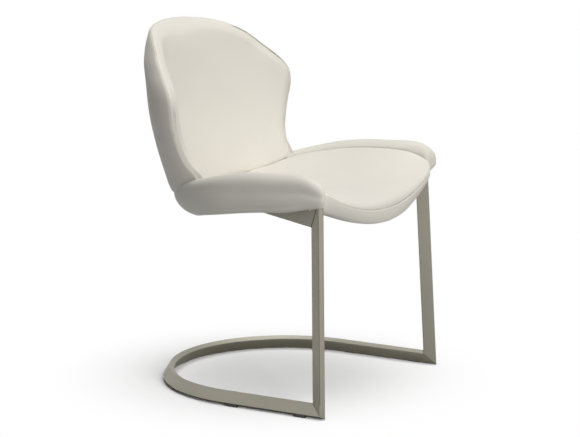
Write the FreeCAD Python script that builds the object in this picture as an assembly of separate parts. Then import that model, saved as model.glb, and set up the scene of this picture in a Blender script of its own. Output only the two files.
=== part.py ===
import FreeCAD, Part
import math
import os
from FreeCAD import Placement, Rotation, Vector

# Cantilever dining chair: a welded frame of flat-sided steel tube, an upholstered seat, a wrap-round back.
# Millimetres, +Z up, -Y to the front, X across. While the pieces are made, Y is counted from the front
# edge of the leg feet; at the end all moves so that the origin is the middle of the chair's footprint.

# Overall sizes
SEAT_HEIGHT = 468.0
CHAIR_HEIGHT = 830.0
SEAT_DEPTH = 424.0
BASE_WIDTH = 552.0
RUNNER_LENGTH = 257.0

# Frame tube, a flat-sided section that leans inwards by the tilt
TUBE_DEPTH = 30.0
TUBE_THICKNESS = 14.0
TUBE_WALL = 1.5
TUBE_CORNER = 1.6
TUBE_TILT = 30.0
LEG_LEAN_IN = 0.047
LEG_LEAN_BACK = 0.037

# Seat rails, which taper from the leg to a low tail
RAIL_HEAD_DEPTH = 61.0
RAIL_TAIL_DEPTH = 22.0
RAIL_TAPER_LENGTH = 150.0
RAIL_OVERRUN = 4.0

# Plates, seat board and what clamps them together
PLATE_THICKNESS = 4.0
PLATE_WIDTH = 50.0
FRONT_BOLTS = 0.335
REAR_BOLTS = 0.571
BOLT_EDGE = 15.0
BOLT_RADIUS = 3.95
BOLT_CLEARANCE = 0.55
HEAD_RADIUS = 6.5
HEAD_HEIGHT = 5.3
WASHER_RADIUS = 9.0
WASHER_THICKNESS = 1.6
SPACER_RADIUS = 10.0
SPACER_THICKNESS = 3.0
COVER_THICKNESS = 1.0
COVER_FRONT = 75.0
COVER_REAR = 40.0
BOARD_THICKNESS = 8.0
BOARD_LANDING_SHARE = 0.344
BOARD_RAIL_ROOM = 52.0
BOARD_EDGE_INSET = 16.0
BOARD_SPARE = 3.0
PAN_PAD_THICKNESS = 28.0
NUT_BARREL_RADIUS = 5.2
NUT_FLANGE_RADIUS = 11.0
NUT_FLANGE_THICKNESS = 1.5
NUT_BORE_RADIUS = 4.05

# Floor glides, nylon wedges pushed into the underside of the runners
GLIDE_GAP = 1.0
GLIDE_LENGTH = 26.0
GLIDE_BACK_LENGTH = 14.0
GLIDE_EDGE = 1.5
GLIDE_STEM_RADIUS = 2.8
GLIDE_STEM_LENGTH = 6.0
GLIDE_FRONT_Y = 60.0
GLIDE_REAR_Y = 22.0

# Seat upholstery: how far the pan lies inside the frame, the band's turn at the rear, where the seat ends,
# and the front lip with its bow and rounded corners
SEAT_FRONT = -12.0
PAN_INSET = 41.0
PAN_SIDE_DRAW = 3.0
PAN_CORNER_ROOM = 45.0
BAND_TURN_INSET = 8.0
SEAT_REAR_RUN = 101.0
LIP_INSET = 28.0
LIP_BOW = 8.0
LIP_CORNER = 29.0

# Back layers, from the outside in
REAR_PAD = 18.0
BACK_BOARD = 8.5
BACK_OVERHANG = 9.0
RIM_THICKNESS = 44.0
RIM_BULGE = 10.0
RIM_LIP = 13.0
ARCH_CORNER = 0.68
FRONT_CORNER = 0.47
BRACKET_THICKNESS = 4.0
BRACKET_WIDTH = 30.0
BRACKET_SPACING = 120.0
BRACKET_HEIGHT = 100.0
BRACKET_FOOT = 105.0
SCREW_RADIUS = 2.4
SCREW_HEAD_RADIUS = 4.6
SCREW_HEAD_HEIGHT = 2.4

# Room between soft pieces and their neighbours, and between loose-fitting metal pieces
SOFT_GAP = 0.4
COVER_GAP = 0.8
FIT_GAP = 0.1

# Sizes that follow from the ones above
BOARD_TOP = SEAT_HEIGHT - PAN_PAD_THICKNESS
BOARD_BOTTOM = BOARD_TOP - BOARD_THICKNESS
PLATE_TOP = BOARD_BOTTOM - COVER_THICKNESS - SPACER_THICKNESS
RAIL_Z = PLATE_TOP - PLATE_THICKNESS
FRAME_HALF = BASE_WIDTH / 2
CREASE_Y = SEAT_FRONT + SEAT_DEPTH
LIP_REACH = FRAME_HALF - LIP_INSET
TURN_RADIUS = FRAME_HALF - BAND_TURN_INSET
TURN_Y = CREASE_Y + SEAT_REAR_RUN - TURN_RADIUS
BOLT_ROWS = (SEAT_FRONT + FRONT_BOLTS * SEAT_DEPTH, SEAT_FRONT + REAR_BOLTS * SEAT_DEPTH)
RAIL_END_Y = BOLT_ROWS[1] + PLATE_WIDTH / 2 + RAIL_OVERRUN
BACK_HEIGHT = CHAIR_HEIGHT - SEAT_HEIGHT
BACK_HALF = TURN_RADIUS + BACK_OVERHANG
FAR = 3000.0


def circle_arc(start, middle, end):
    """Arc through three points."""
    return Part.Arc(start, middle, end).toShape()


def polygon(points):
    """Closed wire through the points."""
    return Part.makePolygon(list(points) + [points[0]])


def rounded_polygon(points, radius):
    """Closed wire through the points, with an arc of the radius at every corner."""
    arcs = []
    for index, corner in enumerate(points):
        to_last = (points[index - 1] - corner).normalize()
        to_next = (points[(index + 1) % len(points)] - corner).normalize()
        half_angle = to_last.getAngle(to_next) / 2
        inwards = (to_last + to_next).normalize()
        run = radius / math.tan(half_angle)
        centre = corner + inwards * (radius / math.sin(half_angle))
        arcs.append((corner + to_last * run, centre - inwards * radius, corner + to_next * run))
    edges = []
    for index, (start, middle, end) in enumerate(arcs):
        edges.append(circle_arc(start, middle, end))
        edges.append(Part.makeLine(end, arcs[(index + 1) % len(arcs)][0]))
    return Part.Wire(edges)


def beyond(point, direction):
    """Everything on the far side of a plane, as a very large box."""
    box = Part.makeBox(FAR, FAR, FAR, Vector(-FAR / 2, -FAR / 2, 0))
    box.Placement = Placement(point, Rotation(Vector(0, 0, 1), direction))
    return box


def mirrored(shape):
    """The same piece for the other side of the chair."""
    return shape.mirror(Vector(0, 0, 0), Vector(1, 0, 0))


def upright(x, y, bottom, top, radius):
    """Vertical round bar or hole."""
    return Part.makeCylinder(radius, top - bottom, Vector(x, y, bottom))


def side_view(points):
    """Everything between the side-view points, given as y and z, right across the chair."""
    outline = polygon([Vector(-FAR / 2, y, z) for y, z in points])
    return Part.Face(outline).extrude(Vector(FAR, 0, 0))


# Frame tube section: points run from the inner lower edge, as distance outwards and height
def tube_corners(inset):
    tilt = math.radians(TUBE_TILT)
    across = (math.cos(tilt), math.sin(tilt))
    along = (-math.sin(tilt), math.cos(tilt))
    corners = []
    for thick, deep in ((0, 0), (1, 0), (1, 1), (0, 1)):
        t = inset + thick * (TUBE_THICKNESS - 2 * inset)
        d = inset + deep * (TUBE_DEPTH - 2 * inset)
        corners.append((t * across[0] + d * along[0], t * across[1] + d * along[1]))
    return corners


def tube_face(place, corner_radius):
    """Hollow tube section, with each section point put where place says."""
    outside = rounded_polygon([place(*corner) for corner in tube_corners(0)], corner_radius)
    bore_radius = corner_radius - TUBE_WALL / 2
    bore = rounded_polygon([place(*corner) for corner in tube_corners(TUBE_WALL)], bore_radius)
    return Part.Face(outside).cut(Part.Face(bore)).Faces[0]


def glide_seats():
    """Place, heading and length of each glide: the point on the inner lower edge, and the turn about Z."""
    rear_y = RUNNER_LENGTH - GLIDE_REAR_Y
    return {
        "glide_left_front": (Vector(-FRAME_HALF, GLIDE_FRONT_Y, 0), 180.0, GLIDE_LENGTH),
        "glide_left_rear": (Vector(-FRAME_HALF, rear_y, 0), 180.0, GLIDE_LENGTH),
        "glide_right_front": (Vector(FRAME_HALF, GLIDE_FRONT_Y, 0), 0.0, GLIDE_LENGTH),
        "glide_right_rear": (Vector(FRAME_HALF, rear_y, 0), 0.0, GLIDE_LENGTH),
        "glide_back": (Vector(0, RUNNER_LENGTH + FRAME_HALF, 0), 90.0, GLIDE_BACK_LENGTH),
    }


def glide_stem(radius, length):
    """Round stem of a glide, square to the narrow lower face of the tube; X points outwards."""
    tilt = math.radians(TUBE_TILT)
    reach = TUBE_THICKNESS / 2
    foot = Vector(reach * math.cos(tilt), 0, GLIDE_GAP + reach * math.sin(tilt))
    return Part.makeCylinder(radius, length, foot, Vector(-math.sin(tilt), 0, math.cos(tilt)))


def turned(shape, point, angle):
    """A piece modelled at the origin, turned about Z and put at the point."""
    moved = shape.copy()
    moved.Placement = Placement(point, Rotation(Vector(0, 0, 1), angle))
    return moved


# One bent tube: two straight runners and the half-round back, mitred where the legs stand on it
def make_base_ring():
    bend_y = RUNNER_LENGTH
    face = tube_face(lambda out, up: Vector(-FRAME_HALF - out, bend_y, up + GLIDE_GAP), TUBE_CORNER)
    runner = face.extrude(Vector(0, -bend_y - TUBE_DEPTH, 0))
    bend = face.revolve(Vector(0, bend_y, 0), Vector(0, 0, 1), -180)
    ring = bend.fuse([runner, mirrored(runner)]).removeSplitter()
    ring = ring.cut(beyond(Vector(0, 0, GLIDE_GAP), Vector(0, -1, 1 + LEG_LEAN_BACK)))
    hole_radius = GLIDE_STEM_RADIUS + FIT_GAP
    for point, angle, _ in glide_seats().values():
        ring = ring.cut(turned(glide_stem(hole_radius, GLIDE_STEM_LENGTH + 1), point, angle))
    return ring


# Nylon wedge that fills the slope under the tube, so that it rests flat on the floor
def make_glide(point, angle, length):
    slope = math.tan(math.radians(TUBE_TILT))
    reach = TUBE_THICKNESS * math.cos(math.radians(TUBE_TILT)) - GLIDE_EDGE
    half = length / 2
    gap = GLIDE_GAP - FIT_GAP
    profile = polygon([
        Vector(GLIDE_EDGE, -half, 0),
        Vector(reach, -half, 0),
        Vector(reach, -half, gap + reach * slope),
        Vector(GLIDE_EDGE, -half, gap + GLIDE_EDGE * slope),
    ])
    wedge = Part.Face(profile).extrude(Vector(0, length, 0))
    return turned(wedge.fuse(glide_stem(GLIDE_STEM_RADIUS, GLIDE_STEM_LENGTH)), point, angle)


def leg_point(out, up, height):
    """Point of the left leg's edge that runs through a section point, at a height over the floor gap."""
    outwards = out - LEG_LEAN_IN * (height - up)
    return Vector(-FRAME_HALF - outwards, up + LEG_LEAN_BACK * height, height + GLIDE_GAP)


def lean_step(height):
    """The leg's run over a height."""
    return Vector(LEG_LEAN_IN, LEG_LEAN_BACK, 1) * height


def frame_point(along, height, thick):
    """Point in the plane that the left leg's and rail's wide faces share."""
    inner_front, outer_front, _, inner_rear = [leg_point(*corner, height) for corner in tube_corners(0)]
    to_rear = (inner_rear - inner_front) / TUBE_DEPTH
    to_outside = (outer_front - inner_front) / TUBE_THICKNESS
    return inner_front + to_rear * along + to_outside * thick


def head_mitre():
    """A point on the mitre between the left leg and its rail, and the direction across it to the rear."""
    low = RAIL_Z - GLIDE_GAP
    rear = frame_point(TUBE_DEPTH, low, 0)
    front = frame_point(0, low + RAIL_HEAD_DEPTH, 0)
    across = frame_point(0, low, TUBE_THICKNESS) - frame_point(0, low, 0)
    normal = (front - rear).cross(across)
    if normal.y < 0:
        normal = -normal
    return rear, normal


# Straight tube that stands on the runner's front end and leans inwards and back
def make_leg():
    foot = tube_face(lambda out, up: leg_point(out, up, 0) - lean_step(TUBE_DEPTH), TUBE_CORNER)
    leg = foot.extrude(lean_step(RAIL_Z + RAIL_HEAD_DEPTH + 2 * TUBE_DEPTH))
    leg = leg.cut(beyond(Vector(0, 0, GLIDE_GAP), Vector(0, 1, -1 - LEG_LEAN_BACK)))
    point, normal = head_mitre()
    return leg.cut(beyond(point, normal))


def rail_length():
    """Run of the rail in its own plane, from the leg's front edge to behind the rear cross plate."""
    start = frame_point(0, RAIL_Z, 0)
    step = frame_point(1, RAIL_Z, 0) - start
    return (RAIL_END_Y - start.y) / step.y


def rail_prism(inset, front_run):
    """Tapered side view of the rail, drawn in by the inset and given the tube's thickness."""
    low = RAIL_Z - GLIDE_GAP
    drop = (RAIL_HEAD_DEPTH - RAIL_TAIL_DEPTH) / RAIL_TAPER_LENGTH
    length = rail_length()
    outline = [
        (-front_run, low + inset),
        (length - inset, low + inset),
        (length - inset, low + RAIL_TAIL_DEPTH - inset),
        (RAIL_TAPER_LENGTH, low + RAIL_TAIL_DEPTH - inset),
        (-front_run, low + RAIL_HEAD_DEPTH - inset + drop * front_run),
    ]
    near = polygon([frame_point(along, height, inset) for along, height in outline])
    across = frame_point(0, low, TUBE_THICKNESS - inset) - frame_point(0, low, inset)
    return Part.Face(near).extrude(across)


# Folded and welded box that runs back and inwards from the leg in the plane of the leg's wide faces
def make_rail():
    outside = rail_prism(0, TUBE_DEPTH)
    long_edges = [edge for edge in outside.Edges if edge.Length > RAIL_HEAD_DEPTH + TUBE_DEPTH]
    outside = outside.makeFillet(TUBE_CORNER, long_edges)
    rail = outside.cut(rail_prism(TUBE_WALL, 2 * TUBE_DEPTH))
    point, normal = head_mitre()
    return rail.cut(beyond(point, -normal))


# Room that the upholstery leaves around the left leg's head and rail
def frame_pocket():
    foot = polygon([leg_point(*corner, 0) for corner in tube_corners(-COVER_GAP)])
    leg = Part.Face(foot).extrude(lean_step(RAIL_Z + RAIL_HEAD_DEPTH + COVER_GAP))
    return leg.fuse(rail_prism(-COVER_GAP, 0))


def rail_reach(y, height):
    """How far from the middle the inner side of the left rail stands, at a distance back and a height."""
    start = frame_point(0, height, 0)
    step = frame_point(1, height, 0) - start
    return -(start + step * ((y - start.y) / step.y)).x


def landing_half():
    """Half width of the flat middle of the seat board, which lies between the rails."""
    rail_tail = rail_reach(RAIL_END_Y, RAIL_Z)
    return min(BOARD_LANDING_SHARE * FRAME_HALF, rail_tail - BOARD_RAIL_ROOM)


def bolt_places():
    """The four seat bolts, seen from above."""
    half = landing_half() - BOLT_EDGE
    return [(x, y) for y in BOLT_ROWS for x in (-half, half)]


# Flat bar welded between the rails, flush with their lower edges
def make_cross_plate(middle_y):
    front_y = middle_y - PLATE_WIDTH / 2
    rear_y = middle_y + PLATE_WIDTH / 2
    front_x = rail_reach(front_y, PLATE_TOP - GLIDE_GAP)
    rear_x = rail_reach(rear_y, PLATE_TOP - GLIDE_GAP)
    outline = polygon([
        Vector(-front_x, front_y, RAIL_Z),
        Vector(front_x, front_y, RAIL_Z),
        Vector(rear_x, rear_y, RAIL_Z),
        Vector(-rear_x, rear_y, RAIL_Z),
    ])
    plate = Part.Face(outline).extrude(Vector(0, 0, PLATE_THICKNESS))
    for x, y in bolt_places():
        plate = plate.cut(upright(x, y, RAIL_Z - 1, PLATE_TOP + 1, BOLT_RADIUS + BOLT_CLEARANCE))
    return plate


def at_bolts(make_one):
    """A group of the same small piece, one at each seat bolt."""
    return Part.makeCompound([make_one(x, y) for x, y in bolt_places()])


def make_bolt(x, y):
    head_top = RAIL_Z - WASHER_THICKNESS
    corners = []
    for side in range(6):
        angle = math.radians(60 * side)
        corner = Vector(math.cos(angle), math.sin(angle), 0) * HEAD_RADIUS
        corners.append(Vector(x, y, head_top) + corner)
    head = Part.Face(polygon(corners)).extrude(Vector(0, 0, -HEAD_HEIGHT))
    return head.fuse(upright(x, y, head_top, BOARD_TOP - NUT_FLANGE_THICKNESS, BOLT_RADIUS))


def make_washer(x, y):
    bottom = RAIL_Z - WASHER_THICKNESS
    disc = upright(x, y, bottom, RAIL_Z, WASHER_RADIUS)
    return disc.cut(upright(x, y, bottom - 1, RAIL_Z + 1, BOLT_RADIUS + BOLT_CLEARANCE / 2))


def make_spacer(x, y):
    top = PLATE_TOP + SPACER_THICKNESS
    disc = upright(x, y, PLATE_TOP, top, SPACER_RADIUS)
    return disc.cut(upright(x, y, PLATE_TOP - 1, top + 1, BOLT_RADIUS + BOLT_CLEARANCE / 2))


def make_insert_nut(x, y):
    flange_bottom = BOARD_TOP - NUT_FLANGE_THICKNESS
    flange = upright(x, y, flange_bottom, BOARD_TOP, NUT_FLANGE_RADIUS)
    barrel = upright(x, y, BOARD_BOTTOM, flange_bottom, NUT_BARREL_RADIUS)
    return flange.fuse(barrel).cut(upright(x, y, BOARD_BOTTOM - 1, BOARD_TOP + 1, NUT_BORE_RADIUS))


# Seat stations from the front lip to under the back. Each gives the share of the seat's depth, the middle
# of the pan over the seat height, the half width as a share, and the edge over the seat height.
PAN_STATIONS = (
    (0.00, -34.0, 1.040, 16.0),
    (0.05, -21.0, 1.064, 31.0),
    (0.11, -14.0, 1.055, 44.0),
    (0.18, -8.0, 1.026, 54.0),
    (0.29, -2.0, 1.000, 57.0),
    (0.45, 0.0, 0.987, 54.0),
    (0.64, -3.0, 0.960, 44.0),
    (0.81, -7.0, 0.870, 29.0),
    (0.91, -10.0, 0.715, 9.5),
    (0.97, -11.5, 0.480, -7.0),
    (1.04, -12.5, 0.430, -12.4),
)
# Padding at the stations in front of the board, and at the edge of the pan at every station
PAN_LIP_PADDING = (7.0, 17.0, 18.0)
PAN_EDGE_PADDING = (7.0, 17.0, 18.0, 26.0, 26.0, 26.0, 26.0, 26.0, 26.0, 19.0, 15.0)
BOARD_STATIONS = range(3, 10)
# Shares of the lip's reach at which its plan is fixed, from the middle out
LIP_SHARES = (0.0, 0.36, 0.645, 0.827, 0.92, 0.98, 1.0)


def pan_station(index):
    """Sizes of the pan at a station: y, middle height, half width, edge height, underside in the middle
    and at the edge."""
    share, middle, width, edge = PAN_STATIONS[index]
    y = SEAT_FRONT + share * SEAT_DEPTH
    under = BOARD_TOP + SOFT_GAP
    if index < len(PAN_LIP_PADDING):
        under = SEAT_HEIGHT + middle - PAN_LIP_PADDING[index]
    half = width * (FRAME_HALF - PAN_INSET)
    if y > TURN_Y:
        limit = math.sqrt(max(0.0, (TURN_RADIUS - PAN_CORNER_ROOM) ** 2 - (y - TURN_Y) ** 2))
        half = min(half, limit)
    edge_under = SEAT_HEIGHT + edge - PAN_EDGE_PADDING[index]
    return y, SEAT_HEIGHT + middle, half, SEAT_HEIGHT + edge, under, edge_under


def pan_half_at(y):
    """Half width of the pan at any distance back."""
    last = pan_station(0)
    for index in range(1, len(PAN_STATIONS)):
        here = pan_station(index)
        if y <= here[0]:
            share = max(0.0, (y - last[0]) / (here[0] - last[0]))
            return last[2] + share * (here[2] - last[2])
        last = here
    return last[2]


def pan_underside(x, index):
    """Height of the pan's underside at a station, flat over the landing and rising to the edge."""
    _, _, half, _, under, edge_under = pan_station(index)
    landing = landing_half()
    rise = (edge_under - under) / (half - PAN_SIDE_DRAW - landing)
    return under + max(0.0, abs(x) - landing) * rise


def lip_setback(share):
    """How far the lip lies behind the seat's front, at a share of its reach."""
    return LIP_BOW * share ** 2 + LIP_CORNER * share ** 14


def in_front_of_lip():
    """Everything in front of the lip, seen from above."""
    points = []
    for share in LIP_SHARES:
        points.append(Vector(share * LIP_REACH, SEAT_FRONT + lip_setback(share) + COVER_GAP, 0))
    points = [Vector(-point.x, point.y, 0) for point in reversed(points[1:])] + points
    curve = Part.BSplineCurve()
    curve.interpolate(points)
    aside_y = points[-1].y
    corners = [(FAR, aside_y), (FAR, -FAR), (-FAR, -FAR), (-FAR, aside_y)]
    around = Part.makePolygon([points[-1]] + [Vector(x, y, 0) for x, y in corners] + [points[0]])
    outline = Part.Wire([curve.toShape()] + around.Edges)
    return Part.Face(outline).extrude(Vector(0, 0, FAR))


# Foam and leather of the seat pan, dished across and drooping over the front edge
def make_pan_cushion():
    landing = landing_half()
    wires = []
    for index in range(len(PAN_STATIONS)):
        y, middle, half, edge, under, edge_under = pan_station(index)
        low_right = Vector(half - PAN_SIDE_DRAW, y, edge_under)
        low_left = Vector(-half + PAN_SIDE_DRAW, y, edge_under)
        wires.append(Part.Wire([
            circle_arc(Vector(-half, y, edge), Vector(0, y, middle), Vector(half, y, edge)),
            Part.makeLine(Vector(half, y, edge), low_right),
            Part.makeLine(low_right, Vector(landing, y, under)),
            Part.makeLine(Vector(landing, y, under), Vector(-landing, y, under)),
            Part.makeLine(Vector(-landing, y, under), low_left),
            Part.makeLine(low_left, Vector(-half, y, edge)),
        ]))
    return Part.makeLoft(wires, True, False).cut(in_front_of_lip())


# Moulded plywood under the pan, flat between the rails and rising over them
def make_seat_board():
    landing = landing_half()
    wires = []
    for index in BOARD_STATIONS:
        y, _, half, _, _, _ = pan_station(index)
        reach = half - BOARD_EDGE_INSET
        top = []
        for x in (-reach, -landing, landing, reach):
            top.append(Vector(x, y, pan_underside(x, index) - SOFT_GAP + BOARD_SPARE))
        bottom = [point - Vector(0, 0, BOARD_THICKNESS + BOARD_SPARE) for point in reversed(top)]
        wires.append(polygon(top + bottom))
    room = make_pan_cushion()
    room.translate(Vector(0, 0, -SOFT_GAP))
    board = Part.makeLoft(wires, True, False).cut(room)
    for x, y in bolt_places():
        flange = upright(x, y, BOARD_TOP - NUT_FLANGE_THICKNESS, BOARD_TOP + 1, NUT_FLANGE_RADIUS)
        barrel = upright(x, y, BOARD_BOTTOM - 1, BOARD_TOP, NUT_BARREL_RADIUS)
        board = board.cut(flange.fuse(barrel))
    for x, y in foot_screws():
        board = board.cut(upright(x, y, BOARD_BOTTOM - 1, BOARD_TOP - 1, SCREW_RADIUS))
    return board


# Black sheet that closes the underside of the board's landing
def make_under_seat_cover():
    half = landing_half()
    rear = CREASE_Y - BRACKET_FOOT - COVER_REAR / 2
    corner = Vector(-half, COVER_FRONT, BOARD_BOTTOM - COVER_THICKNESS)
    cover = Part.makeBox(2 * half, rear - COVER_FRONT, COVER_THICKNESS, corner)
    for x, y in bolt_places():
        cover = cover.cut(upright(x, y, PLATE_TOP, BOARD_BOTTOM + 1, NUT_BARREL_RADIUS))
    return cover


# Rolled front of the seat below the lip seam, lower in the middle than at the sides
APRON_RISE = 52.0
APRON_CORNER_RISE = 14.0
APRON_LOW_RISE = 60.0
APRON_TOP = -35.0
APRON_LOW = -68.0
APRON_SHELF = 12.5
APRON_INNER_SHARE = 0.35
APRON_TUCK = 32.0


def make_front_apron():
    wires = []
    shares = [-share for share in reversed(LIP_SHARES[1:-1])] + list(LIP_SHARES[:-1])
    for share in shares:
        x = share * LIP_REACH
        top = SEAT_HEIGHT + APRON_TOP + APRON_RISE * share ** 2 + APRON_CORNER_RISE * share ** 8
        low = SEAT_HEIGHT + APRON_LOW + APRON_LOW_RISE * share ** 2
        shelf = top - APRON_SHELF
        front = SEAT_FRONT + lip_setback(share)
        tuck = share ** 2 * (1 - share ** 6)
        rear = SEAT_FRONT + APRON_INNER_SHARE * lip_setback(share) + APRON_TUCK * tuck
        seam = Vector(x, front - 4, top)
        waist = Vector(x, front - 4 + 4 * tuck, top - (top - low) * (0.79 - 0.35 * share ** 2))
        nose = Vector(x, front - 7, (seam.z + waist.z) / 2)
        chin = Vector(x, (front + rear) / 2 + 4, low + 3)
        hem = Vector(x, rear + 24, low)
        inner_hem = Vector(x, rear + 28, low + 5)
        inner_top = Vector(x, rear + 28, shelf)
        shelf_front = Vector(x, front - COVER_GAP, shelf)
        seam_rear = Vector(x, front - COVER_GAP, top)
        wires.append(Part.Wire([
            circle_arc(seam, nose, waist),
            circle_arc(waist, chin, hem),
            Part.makeLine(hem, inner_hem),
            Part.makeLine(inner_hem, inner_top),
            Part.makeLine(inner_top, shelf_front),
            Part.makeLine(shelf_front, seam_rear),
            Part.makeLine(seam_rear, seam),
        ]))
    return Part.makeLoft(wires, True, False)


# Side band of the seat, one padded and leather-covered roll from the left leg round the back to the right
# leg. Straight stations: share of the run to the turn, then across from the frame and up from the seat
# for the crest, shoulder, belly, low edge and inner low edge; the inner seam follows the pan at a height.
BAND_STATIONS = (
    (-0.008, 26.0, (-18.0, 37.0), (-4.0, 24.0), (-3.0, 13.0), (-18.0, 6.0), (-29.0, 9.0)),
    (0.037, 32.0, (-16.0, 48.0), (1.0, 29.0), (1.0, 14.0), (-17.0, 2.0), (-31.0, 5.0)),
    (0.143, 45.0, (-14.0, 63.0), (3.0, 34.0), (3.0, 13.0), (-15.0, -1.0), (-29.0, 5.0)),
    (0.26, 54.0, (-14.0, 70.0), (4.0, 37.0), (4.0, 12.0), (-14.0, -5.0), (-32.0, 1.0)),
    (0.45, 57.0, (-17.0, 71.0), (3.0, 33.0), (2.0, 1.0), (-20.0, -16.0), (-37.0, -9.0)),
    (0.73, 54.0, (-21.0, 68.0), (0.0, 28.0), (-4.0, -8.0), (-28.0, -24.0), (-43.0, -16.0)),
    (1.0, 45.0, (-29.0, 60.0), (-8.0, 20.0), (-12.0, -15.0), (-38.0, -33.5), (-51.0, -23.0)),
)
# Turned stations: angle, then the inner seam and the same five points, across from the turn's radius
BAND_TURN_STATIONS = (
    (28.0, (-40.0, 20.0), (-26.0, 29.0), (-2.0, 7.0), (-10.0, -27.0), (-36.0, -52.5), (-49.0, -41.5)),
    (42.0, (-37.0, 0.0), (-20.0, 7.0), (-1.0, -6.0), (-10.0, -39.5), (-40.0, -62.0), (-52.0, -52.0)),
    (56.0, (-32.0, -22.0), (-14.0, -16.0), (0.0, -20.0), (-10.0, -48.0), (-43.0, -68.0), (-54.0, -58.0)),
    (90.0, (-26.0, -28.0), (-12.0, -24.0), (-2.0, -28.0), (-12.0, -56.0), (-40.0, -74.0), (-46.0, -64.0)),
)


# Where the band stops in front of the leg, and how high over the seat the wing's rounded end begins
BAND_FRONT = 14.5
BAND_STEP = 11.0


def band_wire(place, seam, crest, shoulder, belly, low, inner_low):
    """Cross-section of the side band: crowned top, full side, tucked low edge and straight inner side."""
    points = [place(*pair) for pair in (seam, crest, shoulder, belly, low, inner_low)]
    return Part.Wire([
        circle_arc(points[0], points[1], points[2]),
        circle_arc(points[2], points[3], points[4]),
        Part.makeLine(points[4], points[5]),
        Part.makeLine(points[5], points[0]),
    ])


def in_front_of_band():
    """All that lies in front of the left end of the band: the wing's end is rounded seen from above, and
    under it the band stops just in front of the leg."""
    plan = [(0.0, 3.5), (4.0, 5.0), (14.0, 10.5), (24.0, 19.0), (32.0, 29.0), (46.0, 50.0)]
    points = [Vector(inwards - FRAME_HALF, y, SEAT_HEIGHT + BAND_STEP) for inwards, y in plan]
    curve = Part.BSplineCurve()
    curve.interpolate(points)
    near = Vector(points[-1].x, -FAR, points[0].z)
    far = Vector(-FAR, -FAR, points[0].z)
    outer = Vector(-FAR, points[0].y, points[0].z)
    around = Part.makePolygon([points[-1], near, far, outer, points[0]])
    outline = Part.Wire([curve.toShape()] + around.Edges)
    wing = Part.Face(outline).extrude(Vector(0, 0, FAR))
    leg_cover = Part.makeBox(FAR, FAR, FAR, Vector(-FAR, BAND_FRONT - FAR, points[0].z - FAR))
    return wing.fuse(leg_cover)


def make_side_band():
    straight = []
    for share, seam_height, *pairs in BAND_STATIONS:
        y = share * TURN_Y
        seam = (pan_half_at(y) + COVER_GAP - FRAME_HALF, seam_height)
        place = lambda out, up, y=y: Vector(-FRAME_HALF - out, y, SEAT_HEIGHT + up)
        straight.append(band_wire(place, seam, *pairs))
    turn = [straight[-1]]
    for degrees, *pairs in BAND_TURN_STATIONS:
        angle = math.radians(degrees)
        ray = Vector(-math.cos(angle), math.sin(angle), 0)
        centre = Vector(0, TURN_Y, SEAT_HEIGHT)
        place = lambda out, up, ray=ray: centre + ray * (TURN_RADIUS + out) + Vector(0, 0, up)
        turn.append(band_wire(place, *pairs))
    side = Part.makeLoft(straight, True, False).cut(frame_pocket()).cut(in_front_of_band())
    half = side.fuse(Part.makeLoft(turn, True, False))
    return half.fuse(mirrored(half))


# Back stations from the bottom up. Each gives the share of the back's height, how far the outside is drawn
# in, how far its crown lies behind the seat's rear, the wrap from crown to arm end as a share of the turn,
# and the thickness at the crown.
BACK_STATIONS = (
    (-0.120, 65.0, -24.0, 0.540, 88.0),
    (-0.009, 63.0, 6.0, 0.590, 85.0),
    (0.102, 59.0, 28.0, 0.630, 81.0),
    (0.213, 45.0, 39.0, 0.612, 74.5),
    (0.324, 30.0, 47.5, 0.622, 66.5),
    (0.435, 16.0, 51.0, 0.631, 58.5),
    (0.546, 6.5, 52.8, 0.640, 52.3),
    (0.657, 13.0, 55.0, 0.598, 48.0),
    (0.768, 41.5, 57.0, 0.464, 44.5),
    (0.840, 66.0, 58.5, 0.383, 41.5),
    (0.900, 94.0, 60.5, 0.296, 37.0),
    (0.945, 130.0, 62.5, 0.197, 30.0),
    (0.975, 183.0, 64.0, 0.098, 17.0),
    (0.992, 232.0, 65.0, 0.060, 10.0),
)
# Depth from the outside of the rear pad's inner face and of the front pad's rear face, at the top stations
TOP_LAYERS = {9: (17.0, 26.3), 10: (15.5, 24.5), 11: (13.0, 15.5), 12: (8.5, 10.5), 13: (5.0, 6.5)}
BOARD_TOP_STATION = 10
CROWN_STATION = 8
# How much of the half width the rim leaves, how much of the board's the flat middle may take, and how many
# stops lead to either end
RIM_SHARE = 0.999
FLAT_SHARE = 0.7
TO_BOARD_END = 2
TO_RIM = 3


def back_loft(wires):
    """Smooth up to the station where the top starts to close in, then straight from station to station."""
    lower = Part.makeLoft(wires[:CROWN_STATION + 1], True, False)
    if len(wires) == CROWN_STATION + 1:
        return lower
    return lower.fuse(Part.makeLoft(wires[CROWN_STATION:], True, True))


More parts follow.
